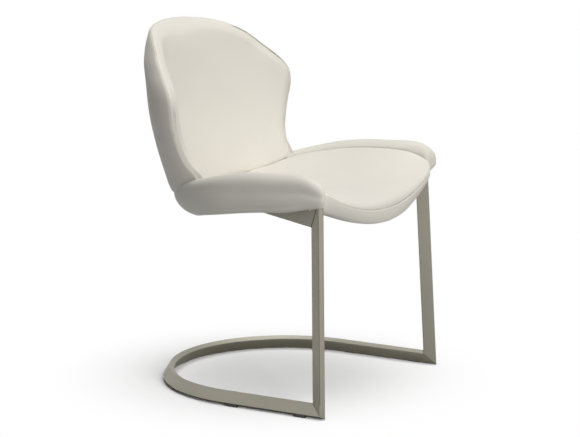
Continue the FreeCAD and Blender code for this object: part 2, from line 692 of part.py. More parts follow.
class Arch:
    """Three-centred arch seen from above: a flat middle and two rounder ends."""

    def __init__(self, half, crown, spring, corner):
        self.half = half
        self.crown = crown
        self.spring = spring
        self.corner = corner
        depth = crown - spring
        flat = half - corner
        self.middle = (flat ** 2 + depth ** 2 - corner ** 2) / (2 * (depth - corner))
        self.join = self.middle * flat / (self.middle - corner)

    def inside(self, depth):
        """The same arch, offset towards the sitter."""
        return Arch(self.half - depth, self.crown - depth, self.spring, self.corner - depth)

    def reach_inside(self, reach, depth):
        """Where the end of a strip that reaches so far on this arch lies on the offset one."""
        if reach > self.join:
            flat = self.half - self.corner
            return flat + (reach - flat) * (self.corner - depth) / self.corner
        return reach * (self.middle - depth) / self.middle

    def y_at(self, x):
        if abs(x) <= self.join:
            return self.crown - self.middle + math.sqrt(self.middle ** 2 - x ** 2)
        aside = abs(x) - self.half + self.corner
        return self.spring + math.sqrt(max(0.0, self.corner ** 2 - aside ** 2))

    def edges(self, stops, z):
        """Arcs between stops across the arch, from left to right."""
        arcs = []
        for start, end in zip(stops, stops[1:]):
            points = [Vector(x, self.y_at(x), z) for x in (start, (start + end) / 2, end)]
            arcs.append(circle_arc(*points))
        return arcs

    def end(self, reach, z):
        return Vector(reach, self.y_at(reach), z)


def both_ways(stops):
    """The stops from the left end to the right end, given those from the middle out."""
    return [-stop for stop in reversed(stops)] + list(stops)


def back_station(index):
    """Height, outside arch with its stops, and front arch with its stops, at a station of the back. The
    stops of the outside are where the flat middle ends, where the board ends and where the rim is."""
    share, draw, crown, wrap, thickness = BACK_STATIONS[index]
    z = SEAT_HEIGHT + share * BACK_HEIGHT
    crown_y = CREASE_Y + SEAT_REAR_RUN + crown
    wrap_depth = wrap * TURN_RADIUS
    spring_y = crown_y - wrap_depth
    outside = Arch(BACK_HALF - draw, crown_y, spring_y, ARCH_CORNER * wrap_depth)
    rim_depth = min(RIM_THICKNESS, thickness)
    front_wrap = wrap_depth - thickness
    front = Arch(outside.half - rim_depth, crown_y - thickness, spring_y, FRONT_CORNER * front_wrap)
    reach = RIM_SHARE * outside.half
    board_end = reach - RIM_LIP
    stops = (min(outside.join, FLAT_SHARE * board_end), board_end, reach)
    front_stops = (min(front.join, FLAT_SHARE * front.half), RIM_SHARE * front.half)
    return z, outside, stops, front, front_stops


def stops_inside(outside, stops, depth):
    """Where the stops of the outside arch lie on the arch at a depth."""
    return [outside.reach_inside(stop, depth) for stop in stops]


def back_layer(last, outer, inner, stop_count):
    """Loft of a strip between two depths from the outside, out to the board's end or to the rim."""
    wires = []
    for index in range(last + 1):
        z, outside, stops, _, _ = back_station(index)
        near_stops = stops_inside(outside, stops[:stop_count], outer(index))
        far_stops = stops_inside(outside, stops[:stop_count], inner(index))
        near = outside.inside(outer(index))
        far = outside.inside(inner(index))
        right_end = Part.makeLine(near.end(near_stops[-1], z), far.end(far_stops[-1], z))
        left_end = Part.makeLine(far.end(-far_stops[-1], z), near.end(-near_stops[-1], z))
        near_edges = near.edges(both_ways(near_stops), z)
        far_edges = far.edges(both_ways(far_stops), z)
        wires.append(Part.Wire(near_edges + [right_end] + far_edges[::-1] + [left_end]))
    return back_loft(wires)


def rear_face(index):
    return TOP_LAYERS[index][0] if index in TOP_LAYERS else REAR_PAD


def front_rear_face(index):
    return TOP_LAYERS[index][1] if index in TOP_LAYERS else REAR_PAD + BACK_BOARD + 2 * SOFT_GAP


def under_rear_seam(gap):
    """Side view of all that lies under the seam between the back and the side band."""
    points = [(-0.1, 40.0), (0.42, 32.0), (0.49, 30.5), (0.575, 18.0), (0.832, -12.5), (1.1, -22.0)]
    line = [(TURN_Y + share * TURN_RADIUS, SEAT_HEIGHT + up + gap) for share, up in points]
    return side_view(line + [(line[-1][0], 0), (line[0][0], 0)])


def under_crease(gap):
    """Side view of all that lies under the crease between the back and the pan."""
    points = [(-150.0, 60.0), (-82.0, 37.5), (-52.0, 20.5), (-10.0, -6.0), (2.0, -10.6), (150.0, -10.6)]
    line = [(CREASE_Y + back, SEAT_HEIGHT + up + gap) for back, up in points]
    return side_view(line + [(line[-1][0], 0), (line[0][0], 0)])


# Outer padding and leather of the back
def make_back_rear_pad():
    pad = back_layer(len(BACK_STATIONS) - 1, lambda index: 0, rear_face, TO_RIM)
    return pad.cut(under_rear_seam(COVER_GAP))


def board_front(index):
    return front_rear_face(index) - SOFT_GAP


# Moulded plywood between the two pads
def make_back_board():
    board_rear = lambda index: rear_face(index) + SOFT_GAP
    board = back_layer(BOARD_TOP_STATION, board_rear, board_front, TO_BOARD_END)
    board = board.cut(under_rear_seam(COVER_GAP))
    for place in leg_screws():
        board = board.cut(placed(screw_shape(SCREW_RADIUS, 1), place))
    return board


def rim_wire(index):
    """Section of the front pad: it wraps the board's end, rolls round the rim and follows the front arch."""
    z, outside, stops, front, front_stops = back_station(index)
    flat_end, board_end, reach = stops
    lip_depth = rear_face(index) + SOFT_GAP
    lip = outside.inside(lip_depth)
    body = outside.inside(front_rear_face(index))
    lip_start, lip_end = stops_inside(outside, (board_end + COVER_GAP, reach), lip_depth)
    body_stops = stops_inside(outside, (flat_end, board_end + COVER_GAP), front_rear_face(index))
    lip_middle = (lip_end + lip_start) / 2

    def seam_end(end):
        """The point clear of the rear pad's end, a little to the front."""
        return end - Vector(0, COVER_GAP, 0)

    def lip_arc(side):
        start = seam_end(lip.end(side * lip_end, z))
        return circle_arc(start, lip.end(side * lip_middle, z), lip.end(side * lip_start, z))

    def step(side):
        return Part.makeLine(lip.end(side * lip_start, z), body.end(side * body_stops[-1], z))

    def seam(side):
        return Part.makeLine(seam_end(lip.end(side * lip_end, z)), seam_end(outside.end(side * reach, z)))

    def rim(side):
        start = seam_end(outside.end(side * reach, z))
        end = front.end(side * front_stops[-1], z)
        chord = end - start
        outwards = Vector(-chord.y, chord.x, 0).normalize()
        if outwards.dot(Vector(side, -1, 0)) < 0:
            outwards = -outwards
        bulge = min(RIM_BULGE, chord.Length / 3)
        return circle_arc(start, (start + end) / 2 + outwards * bulge, end)

    body_edges = body.edges(both_ways(body_stops), z)
    front_edges = front.edges(both_ways(front_stops), z)[::-1]
    left = [rim(-1), seam(-1)]
    right = [step(1), lip_arc(1), seam(1), rim(1)]
    return Part.Wire([lip_arc(-1), step(-1)] + body_edges + right + front_edges + left)


# Inner padding and leather of the back, with the rolled rim that closes over the board's edge
def make_back_front_pad():
    wires = [rim_wire(index) for index in range(len(BACK_STATIONS))]
    pad = back_loft(wires)
    inner_radius = TURN_RADIUS - PAN_CORNER_ROOM + COVER_GAP
    inside_band = upright(0, TURN_Y, 0, SEAT_HEIGHT + SEAT_DEPTH, inner_radius)
    pad = pad.cut(under_rear_seam(COVER_GAP).cut(inside_band))
    pad = pad.cut(under_crease(COVER_GAP))
    depth = board_front(0) + BRACKET_THICKNESS + FIT_GAP + COVER_GAP
    pocket = back_layer(CROWN_STATION, lambda index: board_front(0) - 1, lambda index: depth, TO_BOARD_END)
    for side in (-1, 1):
        pad = pad.cut(pocket.common(bracket_zone(side, COVER_GAP)))
    for place in leg_screws():
        pad = pad.cut(placed(screw_shape(SCREW_HEAD_RADIUS + SOFT_GAP, SCREW_HEAD_HEIGHT + SOFT_GAP), place))
    return pad


def bracket_zone(side, room):
    """Upright slab that holds one bracket's leg."""
    width = BRACKET_WIDTH + 2 * room
    bottom = BOARD_BOTTOM - BRACKET_THICKNESS
    corner = Vector(side * BRACKET_SPACING / 2 - width / 2, 0, bottom)
    return Part.makeBox(width, CREASE_Y + FAR / 2, BRACKET_HEIGHT + room, corner)


def bracket_leg(side):
    """Curved upright part of a bracket, close against the front of the back board."""
    near = board_front(0) + FIT_GAP
    leg = back_layer(CROWN_STATION, lambda index: near, lambda index: near + BRACKET_THICKNESS, TO_BOARD_END)
    return leg.common(bracket_zone(side, 0))


def foot_screws():
    """Screws from each bracket foot up into the seat board, seen from above."""
    front = CREASE_Y - BRACKET_FOOT + BRACKET_WIDTH / 2
    half = BRACKET_SPACING / 2
    return [(x, y) for y in (front, front + 50) for x in (-half, half)]


def leg_screws():
    """Placements of the screws from each bracket leg back into the back board."""
    places = []
    for side in (-1, 1):
        leg = bracket_leg(side)
        for height in (0.55, 0.85):
            z = BOARD_BOTTOM + height * BRACKET_HEIGHT
            x = side * BRACKET_SPACING / 2
            through = Part.makeLine(Vector(x, 0, z), Vector(x, FAR, z)).common(leg)
            point = min((vertex.Point for vertex in through.Vertexes), key=lambda spot: spot.y)
            face = min(leg.Faces, key=lambda one: one.distToShape(Part.Vertex(point))[0])
            normal = face.normalAt(*face.Surface.parameter(point))
            if normal.y < 0:
                normal = -normal
            places.append(Placement(point - normal * FIT_GAP, Rotation(Vector(0, 0, 1), normal)))
    return places


def screw_shape(head_radius, head_height, shank_radius=SCREW_RADIUS):
    """Screw that stands on its head's seat, its point upwards."""
    head = Part.makeCylinder(head_radius, head_height, Vector(0, 0, -head_height))
    shank = Part.makeCylinder(shank_radius, BRACKET_THICKNESS + BOARD_THICKNESS - 1)
    return head.fuse(shank)


def placed(shape, place):
    moved = shape.copy()
    moved.Placement = place
    return moved


# Steel angle that ties the back board to the seat board, under the pan and inside the back
def make_back_bracket(side):
    bottom = BOARD_BOTTOM - BRACKET_THICKNESS
    corner = Vector(side * BRACKET_SPACING / 2 - BRACKET_WIDTH / 2, CREASE_Y - BRACKET_FOOT, bottom)
    foot = Part.makeBox(BRACKET_WIDTH, 2 * BRACKET_FOOT, BRACKET_THICKNESS, corner)
    middle = board_front(0) + BRACKET_THICKNESS / 2
    behind = back_layer(CROWN_STATION, lambda index: -BRACKET_HEIGHT, lambda index: middle, TO_BOARD_END)
    foot = foot.cut(behind)
    bracket = foot.fuse(bracket_leg(side)).removeSplitter()
    for x, y in foot_screws():
        bracket = bracket.cut(upright(x, y, bottom - 1, BOARD_BOTTOM + 1, SCREW_RADIUS + FIT_GAP))
    for place in leg_screws():
        bracket = bracket.cut(placed(screw_shape(SCREW_RADIUS, 1, SCREW_RADIUS + FIT_GAP), place))
    return bracket


def make_bracket_screws():
    screw = screw_shape(SCREW_HEAD_RADIUS, SCREW_HEAD_HEIGHT)
    bottom = BOARD_BOTTOM - BRACKET_THICKNESS
    upwards = [Placement(Vector(x, y, bottom), Rotation()) for x, y in foot_screws()]
    return Part.makeCompound([placed(screw, place) for place in upwards + leg_screws()])


def one_solid(shape):
    """The piece itself, without the wrapper that a cut leaves round it."""
    return max(shape.Solids, key=lambda solid: solid.Volume)


leg = make_leg()
rail = make_rail()
pieces = {
    "base_ring": one_solid(make_base_ring()),
    "leg_left": one_solid(leg),
    "leg_right": mirrored(one_solid(leg)),
    "seat_rail_left": one_solid(rail),
    "seat_rail_right": mirrored(one_solid(rail)),
    "cross_plate_front": one_solid(make_cross_plate(BOLT_ROWS[0])),
    "cross_plate_rear": one_solid(make_cross_plate(BOLT_ROWS[1])),
    "seat_bolts": at_bolts(make_bolt),
    "seat_washers": at_bolts(make_washer),
    "seat_spacers": at_bolts(make_spacer),
    "insert_nuts": at_bolts(make_insert_nut),
    "under_seat_cover": one_solid(make_under_seat_cover()),
    "seat_board": one_solid(make_seat_board()),
    "seat_pan_cushion": one_solid(make_pan_cushion()),
    "seat_front_apron": one_solid(make_front_apron()),
    "seat_side_band": one_solid(make_side_band()),
    "back_board": one_solid(make_back_board()),
    "back_front_pad": one_solid(make_back_front_pad()),
    "back_rear_pad": one_solid(make_back_rear_pad()),
    "back_bracket_left": one_solid(make_back_bracket(-1)),
    "back_bracket_right": one_solid(make_back_bracket(1)),
    "bracket_screws": make_bracket_screws(),
}
for name, seat in glide_seats().items():
    pieces[name] = one_solid(make_glide(*seat))

# The origin goes to the middle of the footprint
outline = Part.makeCompound(list(pieces.values())).optimalBoundingBox()
to_middle = Vector(0, -(outline.YMin + outline.YMax) / 2, 0)
os.makedirs("parts", exist_ok=True)
for name, piece in pieces.items():
    piece.translate(to_middle)
    piece.exportStep("parts/" + name + ".step")
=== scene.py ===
import math
import bmesh
import bpy
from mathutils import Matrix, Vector


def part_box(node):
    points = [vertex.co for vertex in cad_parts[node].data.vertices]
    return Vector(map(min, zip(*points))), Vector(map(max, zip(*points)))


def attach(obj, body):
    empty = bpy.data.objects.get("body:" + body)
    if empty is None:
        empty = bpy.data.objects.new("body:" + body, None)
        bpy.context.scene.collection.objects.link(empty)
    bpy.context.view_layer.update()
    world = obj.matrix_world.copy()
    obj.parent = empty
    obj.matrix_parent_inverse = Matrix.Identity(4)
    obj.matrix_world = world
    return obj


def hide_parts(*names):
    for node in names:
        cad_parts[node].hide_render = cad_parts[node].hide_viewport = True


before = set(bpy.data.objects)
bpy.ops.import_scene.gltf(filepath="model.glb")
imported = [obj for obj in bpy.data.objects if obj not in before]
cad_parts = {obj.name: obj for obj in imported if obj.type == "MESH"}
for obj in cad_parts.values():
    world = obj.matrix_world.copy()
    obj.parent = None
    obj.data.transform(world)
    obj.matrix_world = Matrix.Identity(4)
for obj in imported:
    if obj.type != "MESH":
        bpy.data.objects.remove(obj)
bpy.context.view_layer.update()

bpy.ops.object.select_all(action='DESELECT')
bpy.context.scene.view_settings.view_transform = 'Standard'


# Camera. It stands at the photographer's place: eye height well above the seat, to the left of the front,
# with a long lens. Measures are in millimetres; depth is counted from where the front edge of the leg feet
# would be without its rounding, a little in front of the leg's box.
EDGE_ROUNDING = 0.56
FEET_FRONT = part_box("leg_left")[0].y * 1000 - EDGE_ROUNDING


def spot(x, y, z):
    """A place given in millimetres, with depth from the feet's front edge, as a scene point in metres."""
    return Vector((x, y + FEET_FRONT, z)) / 1000


bpy.ops.object.camera_add(location=spot(-4902.7, -2537.9, 1505.8),
                          rotation=(math.radians(78.717), 0, math.radians(-60.409)))
camera = bpy.context.object
camera.name = "camera_front_left"
camera.data.sensor_width = 36
camera.data.lens = 154.04
camera.data.clip_end = 50
bpy.context.scene.camera = camera


# Floor. A pale seamless studio sweep. The camera sees it white, with the chair's soft shadow, a thin
# contact line under the ring and pure white farther out; light that bounces off it finds a light grey.
def linear(hex_colour):
    """The linear colour of an sRGB hex value, with alpha."""
    channels = [int(hex_colour[i:i + 2], 16) / 255 for i in (1, 3, 5)]
    return [c / 12.92 if c <= 0.04045 else ((c + 0.055) / 1.055) ** 2.4 for c in channels] + [1]


def add_node(tree, kind, inputs=None, **settings):
    """A node with its settings, and its inputs as values or as links from other sockets."""
    node = tree.nodes.new(kind)
    for name, value in settings.items():
        setattr(node, name, value)
    for name, value in (inputs or {}).items():
        if isinstance(value, bpy.types.NodeSocket):
            tree.links.new(value, node.inputs[name])
        else:
            node.inputs[name].default_value = value
    return node


def combine(tree, operation, *values):
    """The result of a maths node for one or two numbers or sockets."""
    return add_node(tree, 'ShaderNodeMath', dict(enumerate(values)), operation=operation).outputs[0]


def ranged(tree, value, span=(0, 1), result=(0, 1), **settings):
    """A value mapped from one span to another, and held within it."""
    limits = dict(zip(('From Min', 'From Max', 'To Min', 'To Max'), (*span, *result)))
    return add_node(tree, 'ShaderNodeMapRange', {'Value': value, **limits}, **settings).outputs[0]


def blend(tree, factor, first, second):
    """A mix of two colours."""
    return add_node(tree, 'ShaderNodeMix', {'Factor': factor, 'A': first, 'B': second},
                    data_type='RGBA').outputs['Result']


def direct_rays(tree):
    """The outputs for the kind of ray, and whether it shows the place: seen, mirrored or through glass."""
    rays = add_node(tree, 'ShaderNodeLightPath').outputs
    seen = combine(tree, 'MAXIMUM', rays['Is Camera Ray'], rays['Is Glossy Ray'])
    return rays, combine(tree, 'MAXIMUM', seen, rays['Is Transmission Ray'])


def new_material(name):
    """An empty node material, its tree and the outputs for places on the object."""
    material = bpy.data.materials.new(name)
    material.use_nodes = True
    tree = material.node_tree
    tree.nodes.clear()
    return material, tree, add_node(tree, 'ShaderNodeTexCoord').outputs


bpy.ops.mesh.primitive_plane_add(size=24, location=(0, 0, 0))
floor = bpy.context.object
floor.name = "studio_floor"
bpy.ops.object.transform_apply(location=True, rotation=True, scale=True)

# Distances over which the floor turns white, how white it is before that, and the contact line's reach
WHITE_FROM, WHITE_AT, LEAST_WHITE, CONTACT_REACH = 0.14, 0.56, 0.34, 0.02
sweep_paint, tree, place = new_material("studio_sweep_paint")
rays, seen = direct_rays(tree)
tone = blend(tree, seen, linear('#C6C6C6'), linear('#FFFFFF'))
matt = add_node(tree, 'ShaderNodeBsdfDiffuse', {'Color': tone, 'Roughness': 0.9})
glow = add_node(tree, 'ShaderNodeEmission', {'Color': linear('#FFFFFF'), 'Strength': 1.0})
away = add_node(tree, 'ShaderNodeVectorMath', {0: place['Object']}, operation='LENGTH')
fade = ranged(tree, away.outputs['Value'], (WHITE_FROM, WHITE_AT), (LEAST_WHITE, 1),
              interpolation_type='SMOOTHSTEP')
contact = add_node(tree, 'ShaderNodeAmbientOcclusion', {'Distance': CONTACT_REACH})
open_air = ranged(tree, contact.outputs['AO'], (0.45, 0.95))
fade = combine(tree, 'MULTIPLY', fade, open_air)
whiten = combine(tree, 'MULTIPLY', fade, rays['Is Camera Ray'])
mixed = add_node(tree, 'ShaderNodeMixShader', {0: whiten, 1: matt.outputs[0], 2: glow.outputs[0]})
add_node(tree, 'ShaderNodeOutputMaterial', {'Surface': mixed.outputs[0]})
floor.data.materials.append(sweep_paint)
floor.select_set(False)


# Light. A large overhead softbox, a little in front of the chair and to its right, gives the soft shadow. A
# smaller one low at the front left lights the sides that face the camera. The room is dim, and plain white
# to the camera and in reflections.
def softbox(name, place, aim, size, watts):
    """A rectangular area lamp that is turned to its aim."""
    bpy.ops.object.light_add(type='AREA', location=place)
    lamp = bpy.context.object
    lamp.name = name
    lamp.data.shape = 'RECTANGLE'
    lamp.data.size, lamp.data.size_y = size
    lamp.data.energy = watts
    lamp.rotation_euler = (Vector(aim) - Vector(place)).to_track_quat('-Z', 'Y').to_euler()
    lamp.select_set(False)


softbox("overhead_softbox", (0.2, -0.4, 4.2), (0, 0, 0.3), (4.0, 3.4), 112)
softbox("front_softbox", (-1.9, -3.4, 1.4), (0, 0, 0.6), (2.2, 2.0), 70)

DIM_ROOM, WHITE_ROOM = 0.13, 1.0
room = bpy.data.worlds.new("studio_room")
bpy.context.scene.world = room
room.use_nodes = True
tree = room.node_tree
tree.nodes.clear()
rays, seen = direct_rays(tree)
level = ranged(tree, seen, result=(DIM_ROOM, WHITE_ROOM))
air = add_node(tree, 'ShaderNodeBackground', {'Color': linear('#FFFFFF'), 'Strength': level})
add_node(tree, 'ShaderNodeOutputWorld', {'Surface': air.outputs[0]})


# Frame: legs, seat rails and floor ring. Flat-sided steel tube, welded and ground, with a satin lacquer in
# a warm grey bronze. Fine upright brushing under the lacquer softens the gloss.
def carry(names, material):
    """Gives the nodes that keep their shape their finish."""
    for name in names:
        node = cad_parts[name]
        node.data.materials.clear()
        node.data.materials.append(material)


def noise(tree, vector, scale, detail, **more):
    """The grey value of a noise texture."""
    return add_node(tree, 'ShaderNodeTexNoise',
                    {'Vector': vector, 'Scale': scale, 'Detail': detail, **more}).outputs['Fac']


def bump(tree, height, strength, distance):
    """A normal that is tilted by a height."""
    return add_node(tree, 'ShaderNodeBump',
                    {'Height': height, 'Strength': strength, 'Distance': distance}).outputs[0]


def surface(tree, inputs):
    """Ends a material in a principled shader."""
    shader = add_node(tree, 'ShaderNodeBsdfPrincipled', inputs)
    add_node(tree, 'ShaderNodeOutputMaterial', {'Surface': shader.outputs[0]})


tube_lacquer, tree, place = new_material("satin_bronze_lacquer_on_steel")
brushed = add_node(tree, 'ShaderNodeMapping', {'Vector': place['Object'], 'Scale': (1, 1, 0.12)})
hairline = noise(tree, brushed.outputs[0], 700, 4, Roughness=0.6)
patches = noise(tree, place['Object'], 9, 3)
tint = blend(tree, patches, linear('#908D81'), linear('#9A968A'))

# Painted shade: a darker colour along the legs' outer corner, whose faces look this way, paints the dark
# reflection on the rounded edge, and a darker colour on the tube's underside paints its shadow
CORNER_WAY, CORNER_FACING, CORNER_SHADE = (0.966, -0.259, 0), (0.76, 0.84), 0.55
DOWN_FACING = (-0.55, -0.80)
facing = add_node(tree, 'ShaderNodeSeparateXYZ', {'Vector': place['Normal']}).outputs
where = add_node(tree, 'ShaderNodeSeparateXYZ', {'Vector': place['Object']}).outputs
outwards = combine(tree, 'MULTIPLY', facing['X'], combine(tree, 'SIGN', where['X']))
turned = add_node(tree, 'ShaderNodeCombineXYZ', {'X': outwards, 'Y': facing['Y']})
toward_corner = add_node(tree, 'ShaderNodeVectorMath', {0: turned.outputs[0], 1: CORNER_WAY},
                         operation='DOT_PRODUCT')
painted_corner_shade = ranged(tree, toward_corner.outputs['Value'], CORNER_FACING, (0, CORNER_SHADE))
painted_underside_shade = ranged(tree, facing['Z'], DOWN_FACING)

# The mitres, where the welds are ground flush, show as fine dark lines: between leg and rail, leg and runner.
# For each: a point of its plane, the normal, half the line's width and the height above which it shows.
MITRES = ((spot(-242.3, 41.65, 424), (0.4507, 0.8017, 0.3927), 0.0022, 0.40),
          (spot(-276, 0, 1), (0, 0.6942, -0.7198), 0.0006, -1.0))
ABOVE_RUNNER, DARKEST = 0.035, 0.85
left_side = combine(tree, 'MULTIPLY', combine(tree, 'ABSOLUTE', where['X']), -1.0)
folded = add_node(tree, 'ShaderNodeCombineXYZ', {'X': left_side, 'Y': where['Y'], 'Z': where['Z']})
joints, offsets = [], []
for point, normal, width, lowest in MITRES:
    distance = add_node(tree, 'ShaderNodeVectorMath', {0: folded.outputs[0], 1: normal},
                        operation='DOT_PRODUCT')
    offset = combine(tree, 'SUBTRACT', distance.outputs['Value'], Vector(normal).dot(point))
    offsets.append(offset)
    line = ranged(tree, combine(tree, 'ABSOLUTE', offset), (width, width * 0.5))
    above = combine(tree, 'GREATER_THAN', where['Z'], lowest)
    joints.append(combine(tree, 'MULTIPLY', line, above))
on_leg = combine(tree, 'LESS_THAN', offsets[0], 0.0)
off_floor = combine(tree, 'GREATER_THAN', where['Z'], ABOVE_RUNNER)
leg_part = combine(tree, 'MULTIPLY', on_leg, off_floor)
# The painted shade of the corner and underside, with the mitres' dark lines, darkens the tint
shade_and_mitre_marks = combine(tree, 'MULTIPLY', painted_corner_shade, leg_part)
for mark in [painted_underside_shade] + joints:
    shade_and_mitre_marks = combine(tree, 'MAXIMUM', shade_and_mitre_marks, mark)
shown = blend(tree, combine(tree, 'MULTIPLY', shade_and_mitre_marks, DARKEST), tint, linear('#2A2620'))
surface(tree, {'Base Color': shown, 'Metallic': 0.9, 'Roughness': ranged(tree, hairline, result=(0.36, 0.50)),
               'Normal': bump(tree, hairline, 0.08, 0.0003)})
carry(["base_ring", "leg_left", "leg_right", "seat_rail_left", "seat_rail_right"], tube_lacquer)


# Cross plates and back angles: hot-rolled steel strip, black powder coat with its fine orange-peel texture.
powder_coat, tree, place = new_material("black_powder_coat")
peel = noise(tree, place['Object'], 900, 2)
surface(tree, {'Base Color': linear('#26262A'), 'Roughness': ranged(tree, peel, result=(0.42, 0.6)),
               'Normal': bump(tree, peel, 0.25, 0.0004)})
carry(["cross_plate_front", "cross_plate_rear", "back_bracket_left", "back_bracket_right"], powder_coat)


# Seat bolts, washers, insert nuts and screws: bright zinc plate, slightly clouded where it was dipped.
zinc, tree, place = new_material("bright_zinc_plate")
cloud = noise(tree, place['Object'], 250, 3)
surface(tree, {'Base Color': blend(tree, cloud, linear('#B9BBBC'), linear('#D4D3CB')), 'Metallic': 1.0,
               'Roughness': ranged(tree, cloud, result=(0.2, 0.42))})
carry(["seat_bolts", "seat_washers", "insert_nuts", "bracket_screws"], zinc)


# Spacers and floor glides: moulded black rubber and grey nylon, matt, with the mould's fine spark texture.
def moulded(name, colour, low, high):
    """A moulded finish in one colour, with a roughness between two values."""
    material, tree, place = new_material(name)
    spark = noise(tree, place['Object'], 1400, 2)
    surface(tree, {'Base Color': linear(colour), 'Roughness': ranged(tree, spark, result=(low, high)),
                   'Normal': bump(tree, spark, 0.2, 0.0002)})
    return material


carry(["seat_spacers"], moulded("moulded_rubber", '#232323', 0.7, 0.9))
carry(["glide_left_front", "glide_left_rear", "glide_right_front", "glide_right_rear", "glide_back"],
      moulded("moulded_grey_nylon", '#4A4843', 0.45, 0.62))


# Seat board and back board: moulded beech plywood. The 1.5 mm veneers show on the cut edges, the grain of
# the face veneer runs front to back.
plywood, tree, place = new_material("moulded_beech_plywood")
grain_way = add_node(tree, 'ShaderNodeMapping', {'Vector': place['Object'], 'Scale': (1, 0.06, 0.4)})
grain = noise(tree, grain_way.outputs[0], 260, 5)
veneers = add_node(tree, 'ShaderNodeTexWave', {'Vector': place['Object'], 'Scale': 105, 'Distortion': 0.6},
                   wave_type='BANDS', bands_direction='Z')
streak = blend(tree, grain, linear('#B98F62'), linear('#D9B88C'))
layer = blend(tree, veneers.outputs['Fac'], streak, linear('#C9A377'))
surface(tree, {'Base Color': layer, 'Roughness': 0.62, 'Normal': bump(tree, grain, 0.15, 0.0003)})
carry(["seat_board", "back_board"], plywood)


# Cover under the seat: black spun-bonded dust sheet, whose point bonds make a fine square net of dimples.
dust_sheet, tree, place = new_material("spunbond_dust_sheet")
bonds = add_node(tree, 'ShaderNodeTexVoronoi', {'Vector': place['Object'], 'Scale': 500, 'Randomness': 0.25})
surface(tree, {'Base Color': linear('#1E1E1F'), 'Roughness': 0.9,
               'Normal': bump(tree, bonds.outputs['Distance'], 0.5, 0.0004)})
carry(["under_seat_cover"], dust_sheet)


# Seat pan: foam on the seat board under one panel of ivory leather. It is dished across, rises to the
# wings, and rolls over the front down to the lip seam, whose ends curve back to the legs.
def curve_through(stations, values):
    """A smooth function through the values at the stations, straight beyond the ends."""
    slopes = []
    for i in range(len(stations)):
        before, after = max(i - 1, 0), min(i + 1, len(stations) - 1)
        slopes.append((values[after] - values[before]) / (stations[after] - stations[before]))

    def at(place):
        if place <= stations[0]:
            return values[0] + slopes[0] * (place - stations[0])
        if place >= stations[-1]:
            return values[-1] + slopes[-1] * (place - stations[-1])
        i = max(k for k in range(len(stations) - 1) if stations[k] <= place)
        run = stations[i + 1] - stations[i]
        t = (place - stations[i]) / run
        return ((2 * t ** 3 - 3 * t ** 2 + 1) * values[i] + (t ** 3 - 2 * t ** 2 + t) * run * slopes[i]
                + (3 * t ** 2 - 2 * t ** 3) * values[i + 1] + (t ** 3 - t ** 2) * run * slopes[i + 1])
    return at


WELD = 0.00002


def cushion(name, form, material, cad_nodes):
    """A padded piece from a mesh under construction: sewn together, rounded by subdivision, smooth."""
    bmesh.ops.remove_doubles(form, verts=form.verts, dist=WELD)
    bmesh.ops.recalc_face_normals(form, faces=form.faces)
    mesh = bpy.data.meshes.new(name)
    form.to_mesh(mesh)
    form.free()
    piece = bpy.data.objects.new(name, mesh)
    bpy.context.collection.objects.link(piece)
    piece.select_set(True)
    bpy.context.view_layer.objects.active = piece
    rounding = piece.modifiers.new("rounding", 'SUBSURF')
    rounding.levels = rounding.render_levels = 1
    bpy.ops.object.modifier_apply(modifier="rounding")
    bpy.ops.object.shade_smooth()
    mesh.materials.append(material)
    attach(piece, "root")
    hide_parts(*cad_nodes)
    piece.select_set(False)
    return piece


def stuffed(name, faces_up, faces_down, material, cad_nodes):
    """A cushion from the rows of its outer and inner face. The rows run the same way and have the same count
    of points; the two faces are sewn together all round."""
    form = bmesh.new()
    upper = [[form.verts.new(spot(*p)) for p in row] for row in faces_up]
    lower = [[form.verts.new(spot(*p)) for p in row] for row in faces_down]
    for near, far in zip(range(len(upper) - 1), range(1, len(upper))):
        for i in range(len(upper[0]) - 1):
            form.faces.new((upper[near][i], upper[near][i + 1], upper[far][i + 1], upper[far][i]))
            form.faces.new((lower[near][i], lower[far][i], lower[far][i + 1], lower[near][i + 1]))
        form.faces.new((upper[near][0], upper[far][0], lower[far][0], lower[near][0]))
        form.faces.new((upper[near][-1], lower[near][-1], lower[far][-1], upper[far][-1]))
    for i in range(len(upper[0]) - 1):
        form.faces.new((upper[0][i], lower[0][i], lower[0][i + 1], upper[0][i + 1]))
        form.faces.new((upper[-1][i], upper[-1][i + 1], lower[-1][i + 1], lower[-1][i]))
    return cushion(name, form, material, cad_nodes)


def leather(name, light, shade):
    """Smooth corrected-grain leather: a closed fine grain that is drawn at 1.4 mm so that it shows, slight
    cloudiness of the dye, and a soft satin finish that is duller in the grain's valleys."""
    material, tree, place = new_material(name)
    clouds = noise(tree, place['Object'], 14, 4)
    cells = add_node(tree, 'ShaderNodeTexVoronoi', {'Vector': place['Object'], 'Scale': 720},
                     feature='SMOOTH_F1')
    creases = noise(tree, place['Object'], 160, 5, Roughness=0.6)
    grain = combine(tree, 'ADD', cells.outputs['Distance'], creases)
    surface(tree, {'Base Color': blend(tree, clouds, linear(shade), linear(light)),
                   'Roughness': ranged(tree, grain, (0, 1.6), (0.44, 0.62)), 'IOR': 1.5,
                   'Specular IOR Level': 0.4, 'Sheen Weight': 0.08, 'Sheen Roughness': 0.4,
                   'Normal': bump(tree, grain, 0.12, 0.0005)})
    return material


ivory_leather = leather("ivory_leather_smooth", '#E7E3D9', '#E2DED4')

# The lip seam from the middle outwards: across, back from the feet, up
LIP_X = (0, 60, 90, 130, 160, 180, 200, 215, 226, 235, 242, 248, 253)
lip_back = curve_through(LIP_X, (-16, -15.7, -15, -13.2, -11.4, -10, -8, -5.5, -2, 3, 8.5, 14, 18))
lip_up = curve_through(LIP_X, (433, 436.2, 440.3, 448.2, 456, 462.4, 469.6, 475.6, 481.5, 488, 493.5, 498,
                               501))

